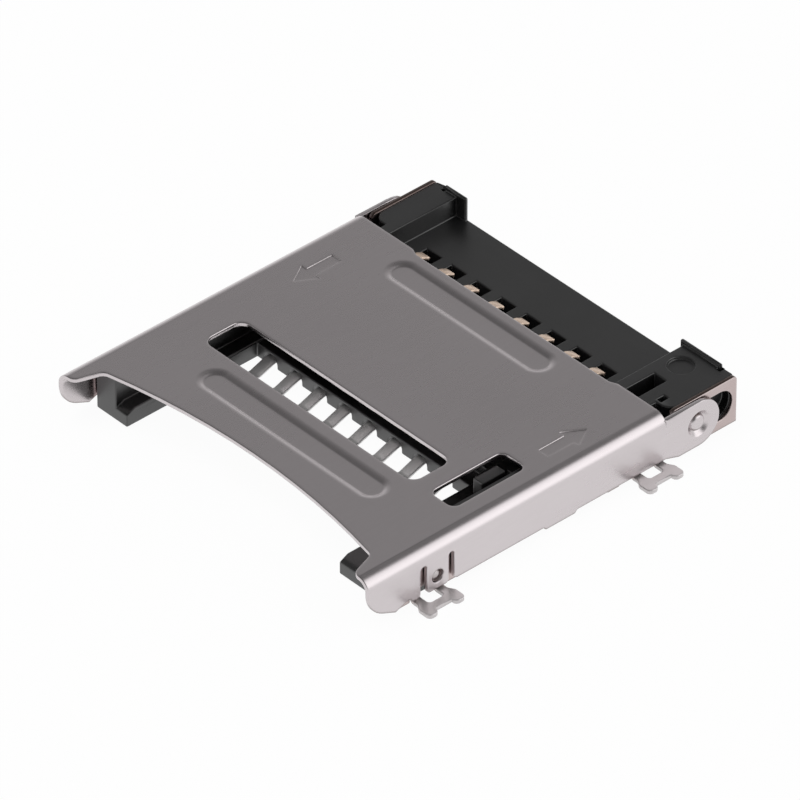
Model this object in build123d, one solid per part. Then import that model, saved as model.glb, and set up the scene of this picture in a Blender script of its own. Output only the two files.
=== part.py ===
from build123d import *
import math
import os

# Hinged memory card connector, in millimetres.
# X runs across the contact row, Y from the card mouth to the hinge, Z up from the board.
# A folded sheet cover turns in two side brackets that are soldered to the board and hold a moulded
# housing with a row of spring contacts.

# Card and contact row
contact_count = 8
contact_pitch = 1.1
card_left_margin = 1.0
card_right_margin = 2.3
card_clearance = 0.055

# Housing widths, from the card bay outwards
left_post_width = 0.87
right_post_width = 0.98
left_ledge_width = 0.49
right_ledge_width = 1.26
key_rail_width = 1.08
rail_groove_width = 0.36
rail_groove_inset = 0.44
block_tongue_width = 0.42

# Housing lengths
deck_front_y = -1.0
arm_front_y = -6.15
deck_shelf_length = 0.6
rail_groove_length = 0.9
ledge_lead_run = 0.32
block_setback = 0.92
post_setback = 1.58
block_corner_radius = 0.4
block_rear_radius = 0.08

# Housing heights
housing_bottom = 0.08
ledge_top = 0.67
ledge_lead_drop = 0.16
deck_shelf_top = 0.6
deck_top = 0.95
key_rail_top = 1.1
rail_groove_depth = 0.4
post_top = 1.6
block_top = 1.64
stop_top = 1.77

# Card stops and the small cuts in the rear blocks
stop_thickness = 0.12
stop_inner_reach = (0.51, 1.2)
stop_outer_reach = (0.44, 0.5)
stop_notch = 0.14
pocket_size = (0.52, 1.8)
pocket_offset = (0.69, 0.04)
pocket_depth = 0.75
block_pit_size = (0.2, 0.3)
block_pit_offset = 0.26
block_pit_depth = 0.3
ejector_mark_radius = 0.42
ejector_mark_setback = 0.84
ejector_mark_depth = 0.1
hinge_pocket_depth = 0.3

# Contacts
contact_width = 0.42
contact_tip_width = 0.38
contact_sheet = 0.12
contact_exit_z = 0.28
contact_anchor_length = 2.3
contact_crest_setback = 2.45
contact_crest_z = 1.19
contact_crest_radius = 0.6
contact_tip_length = 0.33
contact_tip_z = 1.0
contact_foot_length = 0.83
contact_rise_length = 0.62
contact_foot_radius = 0.3
contact_slot_clearance = 0.11
contact_slot_rear_gap = 0.37
contact_arch_width = 0.6
contact_arch_length = 0.25
contact_arch_top = 0.48

# Hinge
hinge_y = 5.78
hinge_z = 0.86
ear_radius = 0.81
pivot_radius = 0.46
pivot_clearance = 0.06
pivot_end_gap = 0.03
pivot_taper = 0.12
dimple_radius = 0.46
dimple_floor_radius = 0.3
dimple_depth = 0.16
button_radius = 0.28
button_height = 0.13
slide_travel = 1.0

# Lock
lock_y = -4.62
lock_z = 0.68
lock_hole_radius = 0.22
lock_dome_radius = 0.17
lock_dome_height = 0.11
dome_roundness = 0.9

# Side brackets
bracket_sheet = 0.15
bracket_cover_gap = 0.04
bracket_front_y = -6.0
bracket_end_margin = 0.17
bracket_rear_top = 1.68
bracket_front_top = 1.42
bracket_bottom = 0.06
bracket_step_setback = 0.98
bracket_corner_radius = 0.15
bracket_step_radius = 0.2
bracket_rear_leg = 1.34
bracket_middle_foot = (2.28, 2.75)

# Solder tabs bent out of the brackets
tab_bend_radius = 0.12
tab_window_length = 0.33
tab_bar_length = 0.29
tab_notch_length = 0.19
tab_width = 1.44
tab_root_width = 1.18
tab_waist_length = 0.15
tab_flare_length = 0.2
tab_relief = 0.05
tab_window_width = 0.6
tab_window_top = 0.42
tab_window_radius = 0.12
tab_notch_width = 0.64
tab_end_radius = 0.16
front_tab_offset = 0.28
rear_tab_setback = 1.96

# Cover
cover_top = 1.85
cover_sheet = 0.15
cover_bend_radius = 0.45
cover_front_y = -7.33
mouth_arc_y = -5.71
mouth_arc_depth = 0.66
cover_side_setback = 1.34
cover_middle_setback = 1.45
rear_step_left = 2.62
rear_step_right = 2.12
rear_step_run = 0.25
horn_root_width = 0.97
horn_tip_width = 0.65
horn_root_radius = 0.26
horn_tip_radius = 0.3

# Openings stamped in the cover
window_side_margin = 0.08
window_length = 1.54
window_setback = 1.43
window_radius = 0.36
side_slot_size = (1.02, 2.88)
side_slot_offset = (0.15, 0.71)
side_slot_radius = 0.27

# Pressed ribs and arrows
rib_depth = 0.08
rib_floor_width = 0.72
rib_side_run = 0.26
front_rib_insets = (2.86, 2.71)
front_rib_setback = 1.5
rear_rib_insets = (2.63, 3.89)
rear_rib_setback = 0.88
arrow_length = 1.75
arrow_shaft = 0.42
arrow_head = 0.86
arrow_head_length = 0.72
arrow_depth = 0.03
left_arrow_inset = (1.38, 2.85)
right_arrow_inset = (1.12, 3.02)

# Side walls of the cover
wall_bottom = 0.23
wall_front_low = 0.68
wall_front_radius = 0.95
wall_toe_bottom = 0.2
wall_notch_top = 0.36
wall_toe_offset = -1.65
wall_notch_offsets = (-1.23, -1.08)
skirt_drop = 0.1
skirt_span = (-0.45, 0.9)
slit_top = 1.29
front_slit_offsets = (-0.67, -0.42)
rear_slit_offsets = (0.43, 0.64)
slit_corner_radius = 0.14

# Widths worked out from the card
card_width = card_left_margin + contact_pitch * (contact_count - 1) + card_right_margin
bay_width = card_width + 2 * card_clearance
bracket_inner = (bay_width + left_post_width + right_post_width) / 2
bracket_outer = bracket_inner + bracket_sheet
wall_inner = bracket_outer + bracket_cover_gap
cover_half = wall_inner + cover_sheet
bay_left_x = left_post_width - bracket_inner
bay_right_x = bracket_inner - right_post_width
left_ledge_x = bay_left_x + left_ledge_width
right_ledge_x = bay_right_x - right_ledge_width
key_rail_x = bay_right_x - key_rail_width
block_tongue_x = bay_right_x + block_tongue_width
first_contact_x = bay_left_x + card_clearance + card_left_margin

# Lengths worked out from the hinge
slot_half_height = pivot_radius + pivot_clearance
bracket_rear_y = hinge_y + slide_travel + slot_half_height + bracket_end_margin
stop_front_y = bracket_rear_y - stop_thickness
block_front_y = hinge_y - block_setback
post_rear_y = hinge_y - post_setback
cover_side_rear_y = hinge_y - cover_side_setback
cover_middle_rear_y = hinge_y - cover_middle_setback
contact_anchor_y = deck_front_y + contact_anchor_length
contact_arch_y = deck_front_y + contact_arch_length
contact_crest_y = stop_front_y - contact_crest_setback
contact_tip_y = contact_crest_y + contact_tip_length
contact_foot_y = deck_front_y - contact_rise_length
contact_foot_end_y = contact_foot_y - contact_foot_length

# Heights and small shapes worked out
cover_under = cover_top - cover_sheet
rib_half_width = rib_floor_width / 2 + rib_side_run
rib_slope = math.degrees(math.atan2(rib_side_run, rib_depth))
tab_outer_radius = tab_bend_radius + bracket_sheet
tab_window_start = bracket_outer + tab_bend_radius
tab_window_end = tab_window_start + tab_window_length
tab_bar_end = tab_window_end + tab_bar_length
tab_reach = tab_bar_end + tab_notch_length
tab_centres_y = (lock_y - front_tab_offset, hinge_y - rear_tab_setback)
over = 1.0


def prism_x(face, x_start, x_end):
    """Extrude a face drawn in Y and Z along X."""
    plane = Plane(origin=(x_start, 0, 0), x_dir=(0, 1, 0), z_dir=(1, 0, 0))
    return extrude(plane * face, x_end - x_start)


def prism_y(face, y_start, y_end):
    """Extrude a face drawn in X and Z along Y."""
    plane = Plane(origin=(0, y_end, 0), x_dir=(1, 0, 0), z_dir=(0, -1, 0))
    return extrude(plane * face, y_end - y_start)


def prism_z(face, z_start, z_end):
    """Extrude a face drawn in X and Y along Z."""
    return extrude(Pos(0, 0, z_start) * face, z_end - z_start)


def block(x_range, y_range, z_range):
    """Box between two corners."""
    size = [high - low for low, high in (x_range, y_range, z_range)]
    middle = [(low + high) / 2 for low, high in (x_range, y_range, z_range)]
    return Pos(*middle) * Box(*size)


def both_sides(shape):
    """The shape and its mirror image across the middle of the part."""
    return shape + mirror(shape, about=Plane.YZ)


def rounded_polygon(points, radii):
    """Closed polygon with a radius at each corner."""
    return make_face(FilletPolyline(*points, radius=radii, close=True))


def slit_face(span, top):
    """Narrow slit with a round top, open below."""
    low, high = span
    radius = (high - low) / 2
    middle = (low + high) / 2
    straight = top - radius
    stem = Pos(middle, (straight - over) / 2) * Rectangle(high - low, straight + over)
    return stem + Pos(middle, straight) * Circle(radius)


def channel_face():
    """Section of the folded cover: top sheet, two bends, two walls."""

    def arch(half, top, radius):
        corners = [(-half, -over), (-half, top), (half, top), (half, -over)]
        return rounded_polygon(corners, [0, radius, radius, 0])

    inner_radius = cover_bend_radius - cover_sheet
    return arch(cover_half, cover_top, cover_bend_radius) - arch(wall_inner, cover_under, inner_radius)


def top_plan():
    """Plan of the top sheet: curved card mouth between two horns, and a rear edge with shallow steps."""
    side = cover_half + over
    root_x = cover_half - horn_root_width
    root_y = mouth_arc_y - mouth_arc_depth
    tip_x = cover_half - horn_tip_width
    step_left = rear_step_left - cover_half
    step_right = cover_half - rear_step_right
    edge = Polyline(
        (root_x, root_y),
        (tip_x, cover_front_y),
        (side, cover_front_y),
        (side, cover_side_rear_y),
        (step_right, cover_side_rear_y),
        (step_right - rear_step_run, cover_middle_rear_y),
        (step_left + rear_step_run, cover_middle_rear_y),
        (step_left, cover_side_rear_y),
        (-side, cover_side_rear_y),
        (-side, cover_front_y),
        (-tip_x, cover_front_y),
        (-root_x, root_y),
    )
    plan = make_face(edge + ThreePointArc((-root_x, root_y), (0, mouth_arc_y), (root_x, root_y)))
    plan = fillet(corners_at(plan, root_x, root_y), horn_root_radius)
    return fillet(corners_at(plan, tip_x, cover_front_y), horn_tip_radius)


def corners_at(face, x_distance, y_level):
    """The two corners of a face at a distance from the middle line."""
    return [corner_near(face, side * x_distance, y_level) for side in (-1, 1)]


def corner_near(face, x_level, y_level):
    """The corner of a flat face that is nearest to a point."""
    return min(face.vertices(), key=lambda v: math.hypot(v.X - x_level, v.Y - y_level))


def wall_profile():
    """Side view of a cover wall with the two slits that free its lock tab."""
    skirt_start, skirt_end = skirt_span
    skirt_bottom = wall_bottom - skirt_drop
    notch_start, notch_end = [lock_y + offset for offset in wall_notch_offsets]
    points = [
        (cover_front_y, cover_top + over),
        (cover_front_y, wall_front_low),
        (lock_y + wall_toe_offset, wall_toe_bottom),
        (notch_start, wall_notch_top),
        (notch_end, wall_notch_top),
        (notch_end + skirt_drop, wall_bottom),
        (skirt_start, wall_bottom),
        (skirt_start + skirt_drop, skirt_bottom),
        (skirt_end - skirt_drop, skirt_bottom),
        (skirt_end, wall_bottom),
        (cover_side_rear_y, wall_bottom),
        (cover_side_rear_y, cover_top + over),
    ]
    radii = [0, wall_front_radius] + [0] * (len(points) - 2)
    profile = rounded_polygon(points, radii)
    for offsets in (front_slit_offsets, rear_slit_offsets):
        span = [lock_y + offset for offset in offsets]
        profile -= slit_face(span, slit_top)
        for slit_y in span:
            profile = fillet(corner_near(profile, slit_y, wall_bottom), slit_corner_radius)
    return profile


def ear():
    """Flat ear behind the top sheet, round about the hinge."""
    root = cover_side_rear_y
    top = hinge_z + ear_radius
    low = hinge_z - ear_radius
    points = [
        (root, top),
        (hinge_y, top),
        (hinge_y, low),
        (hinge_y - ear_radius, low),
        (root, wall_bottom),
    ]
    outline = make_face(Polyline(*points, close=True)) + Pos(hinge_y, hinge_z) * Circle(ear_radius)
    return prism_x(outline, wall_inner, cover_half)


def rib_swell(insets, centre_y):
    """Stadium that stands out of the underside of the sheet where a rib is pressed."""
    left_inset, right_inset = insets
    length = 2 * cover_half - left_inset - right_inset
    centre_x = (left_inset - right_inset) / 2
    plane = Plane(origin=(centre_x, centre_y, cover_under), x_dir=(1, 0, 0), z_dir=(0, 0, -1))
    return extrude(plane * SlotOverall(length, 2 * rib_half_width), rib_depth, taper=rib_slope)


def rib_hollow(insets, centre_y):
    """Hollow of a rib in the top face: a flat floor, and sides that curve up into the sheet."""
    left_inset, right_inset = insets
    left_x = left_inset + rib_half_width - cover_half
    right_x = cover_half - right_inset - rib_half_width
    rim = (rib_half_width, 0)
    foot = (rib_floor_width / 2, -rib_depth)
    outline = Polyline(foot, (0, -rib_depth), (0, over), (rib_half_width, over), rim)
    half = make_face(outline + TangentArc(rim, foot, tangent=(-1, 0)))
    whole = half + mirror(half, about=Plane.YZ)
    hollow = prism_x(Pos(centre_y, cover_top) * whole, left_x, right_x)
    for end_x in (left_x, right_x):
        upright = Plane(origin=(end_x, centre_y, cover_top), x_dir=(1, 0, 0), z_dir=(0, -1, 0))
        hollow += revolve(upright * half, Axis((end_x, centre_y, 0), (0, 0, 1)), 360)
    return hollow


def arrow(centre_x, centre_y, heading):
    """Shallow arrow pressed into the top face."""
    tip = arrow_length / 2
    neck = tip - arrow_head_length
    shaft = arrow_shaft / 2
    head = arrow_head / 2
    half_outline = [(-tip, shaft), (neck, shaft), (neck, head), (tip, 0)]
    face = make_face(Polyline(*half_outline, (-tip, 0), close=True))
    face = Pos(centre_x, centre_y) * Rot(0, 0, heading) * (face + mirror(face, about=Plane.XZ))
    return prism_z(face, cover_top - arrow_depth, cover_top + over)


def inward(x_level, y_level, z_level):
    """Plane on a side wall that faces the middle of the part."""
    return Plane(origin=(x_level, y_level, z_level), x_dir=(0, 1, 0), z_dir=(-1, 0, 0))


def pivot():
    """Round boss pressed inwards from the ear, which turns and slides in the bracket."""
    height = bracket_cover_gap + bracket_sheet - pivot_end_gap
    at_base = (Align.CENTER, Align.CENTER, Align.MIN)
    boss = Cone(pivot_radius, pivot_radius - pivot_taper, height, align=at_base)
    return inward(wall_inner, hinge_y, hinge_z) * boss


def outward(x_level, y_level, z_level):
    """Plane on a side wall that faces away from the middle of the part."""
    return Plane(origin=(x_level, y_level, z_level), x_dir=(0, 1, 0), z_dir=(1, 0, 0))


def button(radius, height, rounding):
    """Short round stub with a rounded top edge."""
    stub = Cylinder(radius, height, align=(Align.CENTER, Align.CENTER, Align.MIN))
    return fillet(stub.edges().sort_by(Axis.Z)[-1], rounding)


def dimple():
    """Hollow that the pressing leaves in the outside of the ear, round a domed middle."""
    at_base = (Align.CENTER, Align.CENTER, Align.MIN)
    hollow = inward(cover_half, hinge_y, hinge_z) * Cone(
        dimple_radius, dimple_floor_radius, dimple_depth, align=at_base
    )
    middle = button(button_radius, button_height, button_height * dome_roundness)
    return hollow - outward(cover_half - dimple_depth, hinge_y, hinge_z) * middle


def top_openings():
    """Plan of the long window over the contact feet and of the slot over the key rail."""
    low = left_ledge_x + window_side_margin
    high = right_ledge_x - window_side_margin
    window = Pos((low + high) / 2, deck_front_y - window_setback) * RectangleRounded(
        high - low, window_length, window_radius
    )
    offset_x, offset_y = side_slot_offset
    slot_centre = Pos(bay_right_x - offset_x, deck_front_y - offset_y)
    slot = slot_centre * RectangleRounded(*side_slot_size, side_slot_radius)
    return window + slot


def cover():
    """One folded sheet with its window, slot, ribs, arrows, lock tabs and hinge ears."""
    shell = prism_y(channel_face(), cover_front_y, cover_side_rear_y)
    shell &= prism_z(top_plan(), -over, cover_top + over)
    shell &= prism_x(wall_profile(), -cover_half - over, cover_half + over)
    shell += both_sides(ear())
    hole = Pos(lock_y, lock_z) * Circle(lock_hole_radius)
    shell -= both_sides(prism_x(hole, wall_inner - cover_sheet, cover_half + over))
    shell -= prism_z(top_openings(), cover_under - cover_sheet, cover_top + over)
    front_rib_y = mouth_arc_y + front_rib_setback
    rear_rib_y = cover_middle_rear_y - rear_rib_setback
    for insets, centre_y in ((front_rib_insets, front_rib_y), (rear_rib_insets, rear_rib_y)):
        shell += rib_swell(insets, centre_y)
        shell -= rib_hollow(insets, centre_y)
    left_inset_x, left_inset_y = left_arrow_inset
    shell -= arrow(left_inset_x - cover_half, cover_side_rear_y - left_inset_y, -90)
    right_inset_x, right_inset_y = right_arrow_inset
    shell -= arrow(cover_half - right_inset_x, cover_side_rear_y - right_inset_y, 90)
    shell += both_sides(pivot())
    shell -= both_sides(dimple())
    return shell


def tab_plan(centre_y):
    """Plan of a solder tab: a window that starts at the plate, and a notch between rounded ends."""
    root = tab_root_width / 2
    wide = tab_width / 2
    narrow = tab_notch_width / 2
    waist_end = tab_window_start + tab_waist_length
    flare_end = waist_end + tab_flare_length
    points = [
        (bracket_inner, root),
        (waist_end, root),
        (flare_end, wide),
        (tab_reach, wide),
        (tab_reach, narrow),
        (tab_bar_end, narrow),
    ]
    opposite = [(x_level, -y_level) for x_level, y_level in reversed(points)]
    radii = [0, tab_end_radius, tab_end_radius, tab_end_radius, tab_end_radius, 0]
    outline = rounded_polygon(points + opposite, radii + radii[::-1])
    window_middle = (bracket_inner - over + tab_window_end) / 2
    window_size = (tab_window_end - bracket_inner + over, tab_window_width)
    window = RectangleRounded(*window_size, tab_window_radius)
    return Pos(0, centre_y) * (outline - Pos(window_middle, 0) * window)


def solder_tab(centre_y):
    """Tab bent out from the foot of a bracket."""
    bend = Circle(tab_outer_radius) - Circle(tab_bend_radius)
    corner_middle = -tab_outer_radius / 2
    corner = Pos(corner_middle, corner_middle) * Rectangle(tab_outer_radius, tab_outer_radius)
    bend_x = bracket_outer + tab_bend_radius
    section = Pos(bend_x, tab_outer_radius) * (bend & corner)
    reach = tab_reach - bend_x
    section += Pos(bend_x + reach / 2, bracket_sheet / 2) * Rectangle(reach, bracket_sheet)
    tab = prism_y(section, centre_y - tab_width / 2, centre_y + tab_width / 2)
    return tab & prism_z(tab_plan(centre_y), -over, over)


def bracket_plate():
    """Upright plate of a bracket, higher behind the cover, with its oblong hinge slot."""
    step_y = hinge_y - bracket_step_setback
    leg_y = bracket_rear_y - bracket_rear_leg
    points = [
        (bracket_front_y, bracket_bottom),
        (bracket_front_y, bracket_front_top),
        (step_y, bracket_front_top),
        (step_y, bracket_rear_top),
        (bracket_rear_y, bracket_rear_top),
        (bracket_rear_y, 0),
        (leg_y, 0),
        (leg_y - bracket_bottom, bracket_bottom),
    ]
    radii = [0, bracket_corner_radius, 0, bracket_step_radius, bracket_corner_radius, 0, 0, 0]
    outline = rounded_polygon(points, radii)
    foot_low, foot_high = bracket_middle_foot
    foot_middle = (foot_low + foot_high) / 2
    outline += Pos(foot_middle, bracket_bottom / 2) * Rectangle(foot_high - foot_low, bracket_bottom)
    for centre_y in tab_centres_y:
        outline -= Pos(centre_y, 0) * Rectangle(tab_root_width + 2 * tab_relief, 2 * tab_outer_radius)
        outline -= Pos(centre_y, 0) * Rectangle(tab_window_width, 2 * tab_window_top)
    slot_length = slide_travel + 2 * slot_half_height
    outline -= Pos(hinge_y + slide_travel / 2, hinge_z) * SlotOverall(slot_length, 2 * slot_half_height)
    return prism_x(outline, bracket_inner, bracket_outer)


def bracket():
    """Right bracket: plate, lock dome and two solder tabs."""
    part = bracket_plate()
    for centre_y in tab_centres_y:
        part += solder_tab(centre_y)
    dome = lock_dome()
    return part + dome


def lock_dome():
    """Low dome on the bracket that the hole in the cover's lock tab snaps over."""
    height = lock_dome_height + bracket_sheet / 2
    dome = button(lock_dome_radius, height, lock_dome_height * dome_roundness)
    return outward(bracket_outer - bracket_sheet / 2, lock_y, lock_z) * dome


def contact_line(x_middle):
    """Side view of a contact: foot, rise, anchor, spring arm and crest."""
    half = contact_sheet / 2
    points = [
        (contact_foot_end_y, half),
        (contact_foot_y, half),
        (deck_front_y, contact_exit_z),
        (contact_anchor_y, contact_exit_z),
        (contact_crest_y, contact_crest_z),
        (contact_tip_y, contact_tip_z),
    ]
    radii = [contact_foot_radius, contact_foot_radius, contact_foot_radius, contact_crest_radius]
    strip = trace(FilletPolyline(*points, radius=radii), contact_sheet)
    return prism_x(strip, x_middle - contact_width / 2, x_middle + contact_width / 2)


def contact(x_middle):
    """Spring contact with a narrowed, rounded tip."""
    wide = contact_width / 2
    narrow = contact_tip_width / 2
    tip_y = contact_tip_y + contact_sheet
    points = [
        (x_middle - wide, contact_foot_end_y - over),
        (x_middle - wide, contact_anchor_y),
        (x_middle - narrow, contact_crest_y),
        (x_middle - narrow, tip_y),
        (x_middle + narrow, tip_y),
        (x_middle + narrow, contact_crest_y),
        (x_middle + wide, contact_anchor_y),
        (x_middle + wide, contact_foot_end_y - over),
    ]
    plan = rounded_polygon(points, [0, 0, 0, narrow * 0.8, narrow * 0.8, 0, 0, 0])
    return contact_line(x_middle) & prism_z(plan, -over, cover_top)


def contact_positions():
    """Middle of each contact across the part."""
    return [first_contact_x + contact_pitch * index for index in range(contact_count)]


def contact_cavity(x_middle):
    """Arch at the deck's front, passage that grips the contact, and open slot for its spring arm."""
    low = contact_exit_z - contact_sheet / 2
    high = contact_exit_z + contact_sheet / 2
    half = contact_width / 2
    passage = block((x_middle - half, x_middle + half), (deck_front_y - over, contact_anchor_y), (low, high))
    slot_half = half + contact_slot_clearance
    slot_rear = contact_tip_y + contact_slot_rear_gap
    slot_x = (x_middle - slot_half, x_middle + slot_half)
    slot = block(slot_x, (contact_anchor_y, slot_rear), (low, deck_top + over))
    radius = contact_arch_width / 2
    straight = contact_arch_top - radius
    stem = Pos(x_middle, (straight - over) / 2) * Rectangle(contact_arch_width, straight + over)
    arch = prism_y(stem + Pos(x_middle, straight) * Circle(radius), deck_front_y - over, contact_arch_y)
    return passage + slot + arch


def ledge(outer_x, inner_x):
    """Low ledge beside the card bay with a sloping lead-in at the mouth."""
    rear_y = deck_front_y + deck_shelf_length
    points = [
        (arm_front_y, housing_bottom),
        (arm_front_y, ledge_top - ledge_lead_drop),
        (arm_front_y + ledge_lead_run, ledge_top),
        (rear_y, ledge_top),
        (rear_y, housing_bottom),
    ]
    side_view = make_face(Polyline(*points, close=True))
    return prism_x(side_view, *sorted((outer_x, inner_x)))


def stop_spans():
    """Ends across the part of the left and the right card stop."""
    left_inner, right_inner = stop_inner_reach
    left_outer, right_outer = stop_outer_reach
    left = (bay_left_x - left_outer, bay_left_x + left_inner)
    right = (bay_right_x - right_inner, bay_right_x + right_outer)
    return left, right


def card_stops():
    """Two low walls at the rear that end the card's travel."""
    y_range = (stop_front_y, bracket_rear_y)
    left, right = [block(span, y_range, (housing_bottom, stop_top)) for span in stop_spans()]
    return left + right


def key_rail():
    """Rail that fills the notch in the card's side, with a groove beside the bay wall."""
    groove_x = key_rail_x + rail_groove_inset
    rail = block((key_rail_x, bay_right_x), (deck_front_y, block_front_y), (housing_bottom, key_rail_top))
    groove = block(
        (groove_x, groove_x + rail_groove_width),
        (deck_front_y - over, deck_front_y + rail_groove_length),
        (key_rail_top - rail_groove_depth, key_rail_top + over),
    )
    return rail - groove


def rear_block():
    """Raised block behind the cover. A narrower tongue of it reaches forward under the cover."""
    points = [
        (bay_right_x, post_rear_y),
        (block_tongue_x, post_rear_y),
        (block_tongue_x, block_front_y),
        (bracket_inner, block_front_y),
        (bracket_inner, bracket_rear_y),
        (bay_right_x, bracket_rear_y),
    ]
    radii = [0, 0, 0, block_corner_radius, block_rear_radius, 0]
    return prism_z(rounded_polygon(points, radii), housing_bottom, block_top)


def key_block():
    """Inner part of the right block, which stands on the key rail."""
    return block((key_rail_x, bay_right_x), (post_rear_y, bracket_rear_y), (housing_bottom, block_top))


def side_posts():
    """Walls on both sides of the card bay, under the cover."""
    y_range = (arm_front_y, post_rear_y)
    left = block((-bracket_inner, bay_left_x), y_range, (housing_bottom, post_top))
    right = block((bay_right_x, bracket_inner), y_range, (housing_bottom, post_top))
    return left + right


def block_cuts():
    """Pocket, pit, ejector mark and stop notches in the tops of the rear blocks."""
    offset_x, offset_y = pocket_offset
    pocket = Pos(key_rail_x + offset_x, block_front_y + offset_y) * Rectangle(*pocket_size)
    pit = Pos(block_tongue_x, block_front_y + block_pit_offset) * Rectangle(*block_pit_size)
    mark = Pos(key_rail_x + offset_x, bracket_rear_y - ejector_mark_setback) * Circle(ejector_mark_radius)
    cuts = prism_z(pocket, block_top - pocket_depth, block_top + over)
    cuts += prism_z(pit, block_top - block_pit_depth, block_top + over)
    cuts += prism_z(mark, block_top - ejector_mark_depth, block_top + over)
    (left_end, _), (_, right_end) = stop_spans()
    for notch_x in (left_end, right_end):
        notch = Pos(notch_x, stop_front_y) * Rectangle(stop_notch, stop_notch)
        cuts += prism_z(notch, deck_top, stop_top + over)
    return cuts


def housing():
    """Black moulding: deck with contact slots, two arms with ledges, rear blocks and card stops."""
    shelf_y = (deck_front_y, deck_front_y + deck_shelf_length)
    deck_y = (deck_front_y + deck_shelf_length, bracket_rear_y)
    body = block((-bracket_inner, bracket_inner), deck_y, (housing_bottom, deck_top))
    body += block((-bracket_inner, bracket_inner), shelf_y, (housing_bottom, deck_shelf_top))
    body += ledge(-bracket_inner, left_ledge_x)
    body += ledge(bracket_inner, right_ledge_x)
    body += side_posts()
    body += key_rail()
    body += both_sides(rear_block())
    body += key_block()
    body += card_stops()
    body -= block_cuts()
    slot_length = slide_travel + 2 * slot_half_height
    recess = Pos(hinge_y + slide_travel / 2, hinge_z) * SlotOverall(slot_length, 2 * slot_half_height)
    body -= both_sides(prism_x(recess, bracket_inner - hinge_pocket_depth, bracket_inner + over))
    for x_middle in contact_positions():
        body -= contact_cavity(x_middle)
    return body


def write(name, shape):
    """Write one sub-part."""
    shape.label = name
    export_step(shape, os.path.join("parts", name + ".step"))


def main():
    os.makedirs("parts", exist_ok=True)
    write("cover", cover())
    write("housing", housing())
    right_bracket = bracket()
    write("bracket_right", right_bracket)
    write("bracket_left", mirror(right_bracket, about=Plane.YZ))
    for number, x_middle in enumerate(contact_positions(), start=1):
        write(f"contact_{number}", contact(x_middle))


main()
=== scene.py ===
import math

import bmesh
import bpy
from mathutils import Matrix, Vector
from mathutils.bvhtree import BVHTree


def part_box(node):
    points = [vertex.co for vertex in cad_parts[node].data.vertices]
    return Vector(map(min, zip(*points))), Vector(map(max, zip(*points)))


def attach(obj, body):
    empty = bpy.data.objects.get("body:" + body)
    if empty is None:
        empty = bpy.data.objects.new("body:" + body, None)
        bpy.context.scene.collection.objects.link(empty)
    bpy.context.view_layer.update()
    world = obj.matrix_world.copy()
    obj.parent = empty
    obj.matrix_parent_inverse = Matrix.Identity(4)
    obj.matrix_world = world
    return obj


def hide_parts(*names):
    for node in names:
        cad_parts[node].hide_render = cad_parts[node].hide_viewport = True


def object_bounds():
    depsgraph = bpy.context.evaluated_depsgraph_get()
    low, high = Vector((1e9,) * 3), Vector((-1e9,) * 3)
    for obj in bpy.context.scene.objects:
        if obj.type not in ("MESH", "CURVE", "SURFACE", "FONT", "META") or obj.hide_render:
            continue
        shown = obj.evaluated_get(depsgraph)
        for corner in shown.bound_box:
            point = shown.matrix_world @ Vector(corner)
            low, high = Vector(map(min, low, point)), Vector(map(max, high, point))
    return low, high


# Looks of a hinged memory card connector. Lengths are in metres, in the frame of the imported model.

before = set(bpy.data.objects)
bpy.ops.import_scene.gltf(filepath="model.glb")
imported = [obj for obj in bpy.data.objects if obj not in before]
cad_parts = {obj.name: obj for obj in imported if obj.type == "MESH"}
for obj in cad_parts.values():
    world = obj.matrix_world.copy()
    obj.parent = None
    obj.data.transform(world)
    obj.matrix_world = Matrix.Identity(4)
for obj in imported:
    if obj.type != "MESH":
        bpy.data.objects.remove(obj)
cad_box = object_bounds()

MM = 0.001

# Places that the frame gives: the object's top, the bracket's inner side and the strips' front end
OBJECT_TOP_Z = cad_box[1][2]
BRACKET_INNER_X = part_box("bracket_right")[0][0]
STRIP_FRONT_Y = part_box("contact_1")[0][1]

# Camera, as the photograph was taken: angles in degrees, sensor and lens in millimetres
CAMERA_AZIMUTH = 47.8
CAMERA_ELEVATION = 37.4
CAMERA_DISTANCE = 333.6 * MM
CAMERA_TARGET = (0.085 * MM, 0.0, 0.9 * MM)
CAMERA_NEAREST = 1.0 * MM
SENSOR_WIDTH = 36.0
FOCAL_LENGTH = 509.36

# Sky: brightness by height of the direction, behind and in front of the object, and the turn between
SKY_HEIGHTS = (0.0, 0.12, 0.3, 0.42, 0.6, 0.75, 1.0)
SKY_BEHIND = (0.85, 0.78, 0.52, 0.42, 0.33, 0.2, 0.12)
SKY_IN_FRONT = (0.95, 0.7, 0.3, 0.17, 0.14, 0.12, 0.12)
SKY_TURN = 0.25

# Softbox at the rear right: its edge and its core are cosines of the angle from its direction
SOFTBOX_DIRECTION = (0.65, 0.52, 0.57)
SOFTBOX_EDGE = 0.79
SOFTBOX_CORE = 0.97
SOFTBOX_LEVEL = 1.2

# Overhead lamp
LAMP_SIZE = 0.5
LAMP_PLACE = (-0.1, -0.2, 0.6)
LAMP_POWER = 2.6

# Floor, which glows white to the camera and in reflections, and takes a soft shadow
FLOOR_HALF = 3.0
FLOOR_DROP = 0.001 * MM
FLOOR_GREY = (0.9, 0.9, 0.9, 1)
FLOOR_GLOW = (1, 1, 1, 1)
FLOOR_GLOW_SHARE = 0.955

# Rounding of the edges that stamping and moulding leave, and the share of it that small steps take
COVER_EDGE = 0.028 * MM
BRACKET_EDGE = 0.028 * MM
HOUSING_EDGE = 0.045 * MM
CONTACT_EDGE = 0.054 * MM
KEY_PAD_EDGE = 0.04 * MM
FINE_SHARE = 0.4
EDGE_SEGMENTS = 2
EDGE_PROFILE = 0.5
ROUNDING_TRIES = 6

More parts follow.
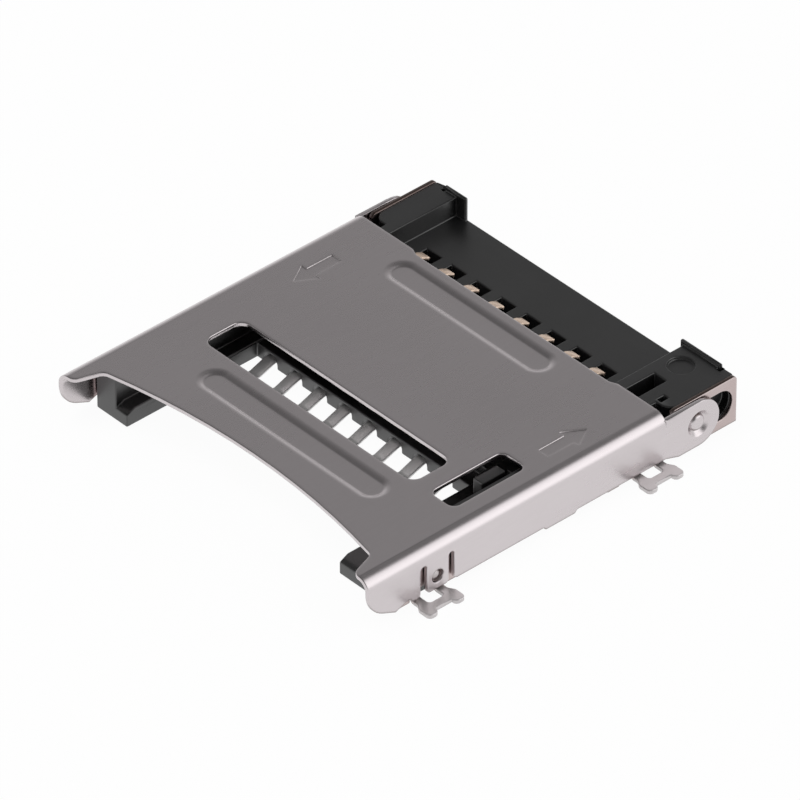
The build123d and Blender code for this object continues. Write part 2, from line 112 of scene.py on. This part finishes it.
# Clearing up of a CAD mesh, and the angle from which an edge counts as sharp
WELD_DISTANCE = 0.0001 * MM
FLAT_ANGLE = math.radians(0.5)
SHARP_ANGLE = math.radians(28.0)

# In widths of a rounding: room beside its edge, what counts as a stray point, and clearance from one
EDGE_ROOM = 2.0
STRAY_SHARE = 0.45
STRAY_CLEARANCE = 2.0

# Small raised key that the side slot shows: its far and near corners, from the housing's right rear top
KEY_PAD_FAR = (1.55 * MM, 9.0 * MM, 1.1 * MM)
KEY_PAD_NEAR = (1.145 * MM, 8.07 * MM, 0.19 * MM)

# Values of a noise that its tones are spread over, and the width over which two finishes meet
NOISE_SPAN = (0.3, 0.7)
FADE = 0.1 * MM

# Sheet drawn down beside its cut edges: its reach, its lean, and cosines of the turn from flat to edge
ROLL_OVER_WIDTH = 0.16 * MM
ROLL_OVER_SHARE = 0.25
ROLL_OVER_SAMPLES = 8
ROLL_OVER_TURN = (1.0, 0.7)

# Rolled sheet: grain drawn out along Y, clouds and specks, and their shares in its tone and relief
GRAIN_STRETCH = (9000, 1500, 9000)
GRAIN_DETAIL = 3.0
GRAIN_TONE = 0.4
GRAIN_HEIGHT = 0.6
CLOUD_SCALE = 180.0
CLOUD_TONE = 0.6
SPECK_SCALE = 16000.0
SPECK_DETAIL = 1.0
SPECK_HEIGHT = 0.4
SHEET_TONE_SPAN = (0.2, 0.8)
SHEET_BUMP_DEPTH = 0.001 * MM
SHEET_BUMP_STRENGTH = 0.035

# Colours and roughness of the sheets, and of the tin on the solder tabs
COVER_TONES = ((0.6, 0.555, 0.566, 1), (0.64, 0.595, 0.606, 1))
COVER_ROUGHNESS = (0.26, 0.3)
BRACKET_TONES = ((0.5, 0.41, 0.4, 1), (0.57, 0.49, 0.48, 1))
BRACKET_ROUGHNESS = (0.28, 0.36)
RUBBED_METAL = (0.72, 0.69, 0.69, 1)
RUBBED_SHARE = 0.35
MATTE_TIN = (0.62, 0.59, 0.592, 1)
MATTE_TIN_METALLIC = 0.55
TINNED_START_X = BRACKET_INNER_X + 0.18 * MM

# Painted shade along the sheets' low edges: colour, share, and the downward lean of the edge rounding
# that tells it from the walls
PAINTED_LOW_SHADE = (0.17, 0.14, 0.13, 1)
PAINTED_LOW_SHADE_SHARE = 0.85
PAINTED_LOW_SHADE_LEAN = (-0.2, -0.5)

# Painted dark reflection on upward cuts and painted shade in inner corners: colour, share, how level the
# cuts lie, and how level and inward the corners lie
PAINTED_HIGH_SHADE = (0.09, 0.06, 0.05, 1)
PAINTED_HIGH_SHADE_SHARE = 0.9
PAINTED_HIGH_SHADE_LEVEL = (0.6, 0.95)
SHADED_CORNER_LEVEL = (0.2, 0.4)
SHADED_CORNER_INWARD = (0, -0.5 * MM)

# Height between the lower and the upper painted shade, where the cover's upper painted shade ends, and
# how softly it ends
PAINTED_SHADE_SPLIT_Z = OBJECT_TOP_Z - 0.85 * MM
COVER_PAINTED_SHADE_END_Z = OBJECT_TOP_Z - 0.25 * MM
PAINTED_SHADE_END_FADE = 0.05 * MM

# Black moulding: fine skin, clouds, and a faint flow drawn out along X
PLASTIC_TONES = ((0.003, 0.003, 0.0032, 1), (0.008, 0.0078, 0.0082, 1))
PLASTIC_ROUGHNESS = (0.32, 0.42)
PLASTIC_IOR = 1.85
PLASTIC_CLOUD_SCALE = 500.0
PLASTIC_SKIN_SCALE = 9000.0
PLASTIC_SKIN_DETAIL = 4.0
PLASTIC_SKIN_ROUGHNESS = 0.6
PLASTIC_BUMP_DEPTH = 0.003 * MM
PLASTIC_BUMP_STRENGTH = 0.4
FLOW_STRETCH = (700, 3000, 3000)
FLOW_SWING = 0.15

# Contact strip: tin at the foot, gold at the arm, and a ragged line where the gold starts
TIN_TONES = ((0.62, 0.61, 0.61, 1), (0.8, 0.79, 0.78, 1))
GOLD_TONES = ((0.68, 0.51, 0.4, 1), (0.79, 0.63, 0.51, 1))
CONTACT_METALLIC = 0.6
CONTACT_ROUGHNESS = (0.26, 0.4)
CONTACT_CLOUD_SCALE = 1500.0
CONTACT_SKIN_SCALE = 9000.0
CONTACT_BUMP_DEPTH = 0.002 * MM
CONTACT_BUMP_STRENGTH = 0.3
PLATING_START_Y = STRIP_FRONT_Y + 4.45 * MM
RAGGED_SCALE = 3000.0
RAGGED_REACH = 0.15 * MM

# Sockets of a mix node by the kind of its data: the first value, the second value and the result
MIX_SOCKETS = {"RGBA": (6, 7, 2), "VECTOR": (4, 5, 1)}


class Graph:
    """The nodes of a material or a world, added one at a time."""

    def __init__(self, owner):
        owner.use_nodes = True
        self.owner = owner
        self.tree = owner.node_tree
        self.tree.nodes.clear()

    def add(self, kind, inputs=None, **settings):
        node = self.tree.nodes.new(kind)
        for key, value in settings.items():
            setattr(node, key, value)
        for key, value in (inputs or {}).items():
            self.feed(node.inputs[key], value)
        return node

    def feed(self, socket, value):
        if isinstance(value, bpy.types.NodeSocket):
            self.tree.links.new(value, socket)
        else:
            socket.default_value = value

    def place(self):
        return self.add("ShaderNodeTexCoord").outputs["Object"]

    def parts(self, vector):
        return self.add("ShaderNodeSeparateXYZ", {"Vector": vector}).outputs

    def facing(self, axis):
        """How far the surface faces along one of the object's own axes."""
        return self.parts(self.add("ShaderNodeTexCoord").outputs["Normal"])[axis]

    def noise(self, vector, scale=1.0, detail=2.0, roughness=0.5):
        inputs = {"Vector": vector, "Scale": scale, "Detail": detail, "Roughness": roughness}
        return self.add("ShaderNodeTexNoise", inputs).outputs["Fac"]

    def stretched(self, vector, factors):
        return self.add("ShaderNodeMapping", {"Vector": vector, "Scale": factors}).outputs["Vector"]

    def ranged(self, value, span, target=(0, 1), **settings):
        """Value moved from one range to another, and held at the ends."""
        inputs = {"Value": value}
        inputs["From Min"], inputs["From Max"] = span
        inputs["To Min"], inputs["To Max"] = target
        return self.add("ShaderNodeMapRange", inputs, **settings).outputs["Result"]

    def beyond(self, value, start, fade):
        """0 up to a place, and 1 from a fade's width beyond it."""
        return self.ranged(value, (start, start + fade), (0, 1))

    def up_to(self, value, end, fade):
        """1 up to a place, and 0 from a fade's width beyond it."""
        return self.ranged(value, (end, end + fade), (1, 0))

    def mixed(self, factor, first, second, kind="RGBA"):
        first_socket, second_socket, result = MIX_SOCKETS[kind]
        inputs = {"Factor": factor, first_socket: first, second_socket: second}
        return self.add("ShaderNodeMix", inputs, data_type=kind).outputs[result]

    def computed(self, operation, *values):
        inputs = dict(enumerate(values))
        return self.add("ShaderNodeMath", inputs, operation=operation).outputs[0]

    def summed(self, first, second):
        return self.computed("ADD", first, second)

    def multiplied(self, first, second):
        return self.computed("MULTIPLY", first, second)

    def on_vectors(self, operation, result, *values):
        inputs = dict(enumerate(values))
        return self.add("ShaderNodeVectorMath", inputs, operation=operation).outputs[result]

    def dot(self, first, second):
        return self.on_vectors("DOT_PRODUCT", "Value", first, second)

    def bump(self, height, distance, strength, normal=None):
        inputs = {"Height": height, "Distance": distance, "Strength": strength}
        if normal:
            inputs["Normal"] = normal
        return self.add("ShaderNodeBump", inputs).outputs["Normal"]

    def principled(self, **inputs):
        named = {key.replace("_", " "): value for key, value in inputs.items()}
        shader = self.add("ShaderNodeBsdfPrincipled", named)
        self.add("ShaderNodeOutputMaterial", {"Surface": shader.outputs["BSDF"]})
        return self.owner


# Materials


def rolled_over(graph):
    """Normal that leans outwards beside an edge, how near the edge is, and how far up it is turned."""
    plain = graph.add("ShaderNodeNewGeometry").outputs["Normal"]
    bevel = graph.add("ShaderNodeBevel", {"Radius": ROLL_OVER_WIDTH}, samples=ROLL_OVER_SAMPLES)
    soft = bevel.outputs["Normal"]
    leaning = graph.on_vectors("NORMALIZE", "Vector", graph.mixed(ROLL_OVER_SHARE, plain, soft, "VECTOR"))
    near = graph.ranged(graph.dot(plain, soft), ROLL_OVER_TURN)
    own = graph.add(
        "ShaderNodeVectorTransform",
        {"Vector": soft},
        vector_type="NORMAL",
        convert_from="WORLD",
        convert_to="OBJECT",
    )
    return leaning, near, graph.parts(own.outputs["Vector"])["Z"]


def painted_low_shade(graph, place, upward):
    """How much of a point's colour is painted shade on a low edge's down-facing rounding."""
    low = graph.up_to(graph.parts(place)["Z"], PAINTED_SHADE_SPLIT_Z, FADE)
    return graph.multiplied(low, graph.ranged(upward, PAINTED_LOW_SHADE_LEAN, (0, PAINTED_LOW_SHADE_SHARE)))


def painted_high_shade(graph, place, end):
    """How much of a point's colour is painted dark reflection on upward cuts and painted shade in inner
    corners, up to the height where these end.
    """
    split = graph.parts(place)
    upward = graph.facing("Z")
    inward = graph.ranged(graph.multiplied(graph.facing("X"), split["X"]), SHADED_CORNER_INWARD)
    corner = graph.multiplied(graph.ranged(upward, SHADED_CORNER_LEVEL), inward)
    darkened = graph.computed("MAXIMUM", graph.ranged(upward, PAINTED_HIGH_SHADE_LEVEL), corner)
    start = graph.beyond(split["Z"], PAINTED_SHADE_SPLIT_Z, FADE)
    high = graph.multiplied(start, graph.up_to(split["Z"], end, PAINTED_SHADE_END_FADE))
    return graph.multiplied(graph.multiplied(darkened, high), PAINTED_HIGH_SHADE_SHARE)


def sheet_metal(name, tones, roughness, painted_shade_end, soldered=False):
    """Rolled sheet: faint grain and cloudy tone, edges rubbed light, painted shade on low edges, painted
    dark reflection on upper cuts.

    The upper painted dark reflection and shade are laid up to a height. A soldered piece has matte tin on
    its tabs.
    """
    graph = Graph(bpy.data.materials.new(name))
    place = graph.place()
    grain = graph.noise(graph.stretched(place, GRAIN_STRETCH), detail=GRAIN_DETAIL)
    cloud = graph.noise(place, CLOUD_SCALE)
    speck = graph.noise(place, SPECK_SCALE, SPECK_DETAIL)
    cloudy = graph.ranged(cloud, NOISE_SPAN, (0, CLOUD_TONE))
    tone = graph.summed(cloudy, graph.ranged(grain, NOISE_SPAN, (0, GRAIN_TONE)))
    height = graph.summed(graph.multiplied(grain, GRAIN_HEIGHT), graph.multiplied(speck, SPECK_HEIGHT))
    normal, rubbed, upward = rolled_over(graph)
    colour = graph.mixed(tone, *tones)
    colour = graph.mixed(graph.multiplied(rubbed, RUBBED_SHARE), colour, RUBBED_METAL)
    # Painted shade on the low edges' down-facing rounding
    colour = graph.mixed(painted_low_shade(graph, place, upward), colour, PAINTED_LOW_SHADE)
    # Painted dark reflection on upward cuts, and painted shade in inner corners
    colour = graph.mixed(painted_high_shade(graph, place, painted_shade_end), colour, PAINTED_HIGH_SHADE)
    metallic = 1.0
    if soldered:
        outward = graph.computed("ABSOLUTE", graph.parts(place)["X"])
        tinned = graph.beyond(outward, TINNED_START_X, FADE)
        colour = graph.mixed(tinned, colour, MATTE_TIN)
        metallic = graph.ranged(tinned, (0, 1), (metallic, MATTE_TIN_METALLIC))
    return graph.principled(
        Base_Color=colour,
        Metallic=metallic,
        Roughness=graph.ranged(tone, SHEET_TONE_SPAN, roughness),
        Normal=graph.bump(height, SHEET_BUMP_DEPTH, SHEET_BUMP_STRENGTH, normal),
    )


def moulded_plastic(name):
    """Black filled plastic with a fine spark-eroded surface and a faint flow pattern."""
    graph = Graph(bpy.data.materials.new(name))
    place = graph.place()
    skin = graph.noise(place, PLASTIC_SKIN_SCALE, PLASTIC_SKIN_DETAIL, PLASTIC_SKIN_ROUGHNESS)
    cloud = graph.noise(place, PLASTIC_CLOUD_SCALE)
    flow = graph.noise(graph.stretched(place, FLOW_STRETCH))
    swing = graph.ranged(flow, (0, 1), (-FLOW_SWING, FLOW_SWING))
    tone = graph.ranged(graph.summed(cloud, swing), NOISE_SPAN)
    return graph.principled(
        Base_Color=graph.mixed(tone, *PLASTIC_TONES),
        Roughness=graph.ranged(cloud, NOISE_SPAN, PLASTIC_ROUGHNESS),
        IOR=PLASTIC_IOR,
        Normal=graph.bump(skin, PLASTIC_BUMP_DEPTH, PLASTIC_BUMP_STRENGTH),
    )


def plated_contact(name):
    """Copper alloy strip, tinned at the foot and gold at the spring arm."""
    graph = Graph(bpy.data.materials.new(name))
    place = graph.place()
    ragged = graph.ranged(graph.noise(place, RAGGED_SCALE), (0, 1), (-RAGGED_REACH, RAGGED_REACH))
    along = graph.summed(graph.parts(place)["Y"], ragged)
    plated = graph.beyond(along, PLATING_START_Y, FADE)
    cloud = graph.noise(place, CONTACT_CLOUD_SCALE)
    skin = graph.noise(place, CONTACT_SKIN_SCALE)
    return graph.principled(
        Base_Color=graph.mixed(plated, graph.mixed(cloud, *TIN_TONES), graph.mixed(cloud, *GOLD_TONES)),
        Metallic=CONTACT_METALLIC,
        Roughness=graph.ranged(cloud, NOISE_SPAN, CONTACT_ROUGHNESS),
        Normal=graph.bump(skin, CONTACT_BUMP_DEPTH, CONTACT_BUMP_STRENGTH),
    )


# Rounding of edges


def rounded(form, lines, width):
    """Round these edges of a form by a width."""
    bmesh.ops.bevel(
        form, geom=lines, offset=width, segments=EDGE_SEGMENTS, affect="EDGES", profile=EDGE_PROFILE
    )


def roomy(line, width):
    """Whether both faces beside an edge are wide enough to be rounded by a width."""
    start, end = [corner.co for corner in line.verts]
    along = (end - start).normalized()

    def reach(face):
        return max((corner.co - start).cross(along).length for corner in face.verts)

    return all(reach(face) > EDGE_ROOM * width for face in line.link_faces)


def strays(form, lines, width):
    """Points that rounding these edges would throw off the surface, and how far off each is."""
    surface = BVHTree.FromBMesh(form)
    trial = form.copy()
    trial.edges.ensure_lookup_table()
    rounded(trial, [trial.edges[line.index] for line in lines], width)
    wild = []
    for corner in trial.verts:
        _, _, _, off = surface.find_nearest(corner.co)
        if off > STRAY_SHARE * width:
            wild.append((corner.co.copy(), off))
    trial.free()
    return wild


def clear_of(wild, line, width):
    """Whether both ends of an edge are well away from every stray point."""
    return all(
        (corner.co - point).length > STRAY_CLEARANCE * width + off
        for corner in line.verts
        for point, off in wild
    )


def round_sharp_edges(form, width):
    """Round the edges marked as sharp, but leave those sharp that have no room for it."""
    form.edges.index_update()
    lines = [line for line in form.edges if not line.smooth and roomy(line, width)]
    for _ in range(ROUNDING_TRIES):
        wild = strays(form, lines, width)
        if not wild:
            break
        lines = [line for line in lines if clear_of(wild, line, width)]
    for line in lines:
        line.smooth = True
    rounded(form, lines, width)


# Pieces of the object


def shown(name, data):
    """A new object in the scene."""
    thing = bpy.data.objects.new(name, data)
    bpy.context.scene.collection.objects.link(thing)
    return thing


def new_piece(name, mesh, material, body):
    """A piece of the object, which rides on a body and has a slot's finish."""
    mesh.materials.clear()
    mesh.materials.append(material)
    piece = shown(name, mesh)
    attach(piece, body)
    return piece


def dress_node(node, edge, material, body):
    """Make a piece that stands for a node: the node's own form, with its edges rounded."""
    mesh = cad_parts[node].data.copy()
    mesh.name = node + "_finish"
    form = bmesh.new()
    form.from_mesh(mesh)
    bmesh.ops.remove_doubles(form, verts=form.verts, dist=WELD_DISTANCE)
    bmesh.ops.dissolve_limit(
        form, angle_limit=FLAT_ANGLE, verts=form.verts, edges=form.edges, delimit=set()
    )
    for line in form.edges:
        line.smooth = line.calc_face_angle(0.0) <= SHARP_ANGLE
    for width in (edge, FINE_SHARE * edge):
        round_sharp_edges(form, width)
    for face in form.faces:
        face.smooth = True
    form.to_mesh(mesh)
    form.free()
    piece = new_piece(node + "_finish", mesh, material, body)
    weights = piece.modifiers.new("weights", "WEIGHTED_NORMAL")
    weights.mode = "FACE_AREA_WITH_ANGLE"
    weights.keep_sharp = True
    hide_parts(node)


def key_pad(material):
    """Make the raised key on the housing's rail, under the side slot."""
    housing_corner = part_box("housing")[1]
    low = housing_corner - Vector(KEY_PAD_FAR)
    high = housing_corner - Vector(KEY_PAD_NEAR)
    form = bmesh.new()
    bmesh.ops.create_cube(form, size=1.0)
    bmesh.ops.scale(form, vec=high - low, verts=form.verts)
    bmesh.ops.translate(form, vec=(low + high) / 2, verts=form.verts)
    rounded(form, form.edges[:], KEY_PAD_EDGE)
    mesh = bpy.data.meshes.new("key_pad")
    form.to_mesh(mesh)
    form.free()
    new_piece("key_pad", mesh, material, "base")


def dress():
    """Give every CAD piece its finish, and add the raised key."""
    cover_metal = sheet_metal("cover_sheet", COVER_TONES, COVER_ROUGHNESS, COVER_PAINTED_SHADE_END_Z)
    bracket_metal = sheet_metal(
        "bracket_sheet", BRACKET_TONES, BRACKET_ROUGHNESS, OBJECT_TOP_Z, soldered=True
    )
    plastic = moulded_plastic("black_moulding")
    contact_metal = plated_contact("contact_strip")
    dress_node("cover", COVER_EDGE, cover_metal, "cover")
    dress_node("housing", HOUSING_EDGE, plastic, "base")
    key_pad(plastic)
    for side in ("left", "right"):
        dress_node("bracket_" + side, BRACKET_EDGE, bracket_metal, "base")
    for node in sorted(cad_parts):
        if node.startswith("contact_"):
            dress_node(node, CONTACT_EDGE, contact_metal, "base")


# Camera, lights and floor


def aim(thing, direction):
    """Turn a camera or a lamp to look in a direction."""
    thing.rotation_euler = direction.to_track_quat("-Z", "Y").to_euler()


def camera():
    """Camera at the photograph's viewing angle."""
    azimuth = math.radians(CAMERA_AZIMUTH)
    elevation = math.radians(CAMERA_ELEVATION)
    level = math.cos(elevation)
    back = Vector((math.sin(azimuth) * level, -math.cos(azimuth) * level, math.sin(elevation)))
    data = bpy.data.cameras.new("camera")
    data.sensor_width = SENSOR_WIDTH
    data.lens = FOCAL_LENGTH
    data.clip_start = CAMERA_NEAREST
    holder = shown("camera", data)
    holder.location = Vector(CAMERA_TARGET) + back * CAMERA_DISTANCE
    aim(holder, -back)
    bpy.context.scene.camera = holder


def sky_ramp(graph, height, levels):
    """Brightness of the sky at a height, from its levels at the named heights."""
    ramp = graph.add("ShaderNodeValToRGB", {"Fac": height})
    stops = ramp.color_ramp.elements
    while len(stops) < len(levels):
        stops.new(SKY_HEIGHTS[-1])
    for stop, stop_height, level in zip(stops, SKY_HEIGHTS, levels):
        stop.position = stop_height
        stop.color = (level, level, level, 1)
    return ramp.outputs["Color"]


def sky():
    """Sky that is dark overhead and in front, with a softbox at the rear right."""
    graph = Graph(bpy.data.worlds.new("studio"))
    direction = graph.add("ShaderNodeTexCoord").outputs["Generated"]
    split = graph.parts(direction)
    behind = graph.ranged(split["Y"], (-SKY_TURN, SKY_TURN))
    front_level = sky_ramp(graph, split["Z"], SKY_IN_FRONT)
    rear_level = sky_ramp(graph, split["Z"], SKY_BEHIND)
    dome = graph.mixed(behind, front_level, rear_level)
    towards = graph.dot(direction, Vector(SOFTBOX_DIRECTION).normalized())
    softbox = graph.ranged(
        towards, (SOFTBOX_EDGE, SOFTBOX_CORE), (0, SOFTBOX_LEVEL), interpolation_type="SMOOTHSTEP"
    )
    light = graph.on_vectors("ADD", "Vector", dome, softbox)
    background = graph.add("ShaderNodeBackground", {"Color": light})
    graph.add("ShaderNodeOutputWorld", {"Surface": background.outputs["Background"]})
    bpy.context.scene.world = graph.owner


def lamp():
    """Broad lamp overhead, which no surface mirrors."""
    data = bpy.data.lights.new("overhead_lamp", "AREA")
    data.shape = "SQUARE"
    data.size = LAMP_SIZE
    data.energy = LAMP_POWER
    holder = shown("overhead_lamp", data)
    holder.location = LAMP_PLACE
    aim(holder, -Vector(LAMP_PLACE))
    holder.visible_glossy = False


def floor_white():
    """Grey to the light that falls on it, and nearly all glow to the camera and in reflections."""
    graph = Graph(bpy.data.materials.new("floor_white"))
    diffuse = graph.add("ShaderNodeBsdfDiffuse", {"Color": FLOOR_GREY})
    glow = graph.add("ShaderNodeEmission", {"Color": FLOOR_GLOW})
    rays = graph.add("ShaderNodeLightPath").outputs
    seen = graph.summed(rays["Is Camera Ray"], rays["Is Glossy Ray"])
    seen = graph.summed(seen, rays["Is Transmission Ray"])
    share = graph.ranged(seen, (0, 1), (0, FLOOR_GLOW_SHARE))
    shaders = {"Fac": share, 1: diffuse.outputs["BSDF"], 2: glow.outputs["Emission"]}
    mix = graph.add("ShaderNodeMixShader", shaders)
    graph.add("ShaderNodeOutputMaterial", {"Surface": mix.outputs["Shader"]})
    return graph.owner


def floor():
    """Large floor just under the object."""
    half = FLOOR_HALF
    mesh = bpy.data.meshes.new("floor")
    corners = [(-half, -half, 0), (half, -half, 0), (half, half, 0), (-half, half, 0)]
    mesh.from_pydata(corners, [], [(0, 1, 2, 3)])
    mesh.materials.append(floor_white())
    plane = shown("floor", mesh)
    plane.location.z = cad_box[0][2] - FLOOR_DROP


bpy.context.scene.view_settings.view_transform = "Standard"
camera()
sky()
lamp()
floor()
dress()
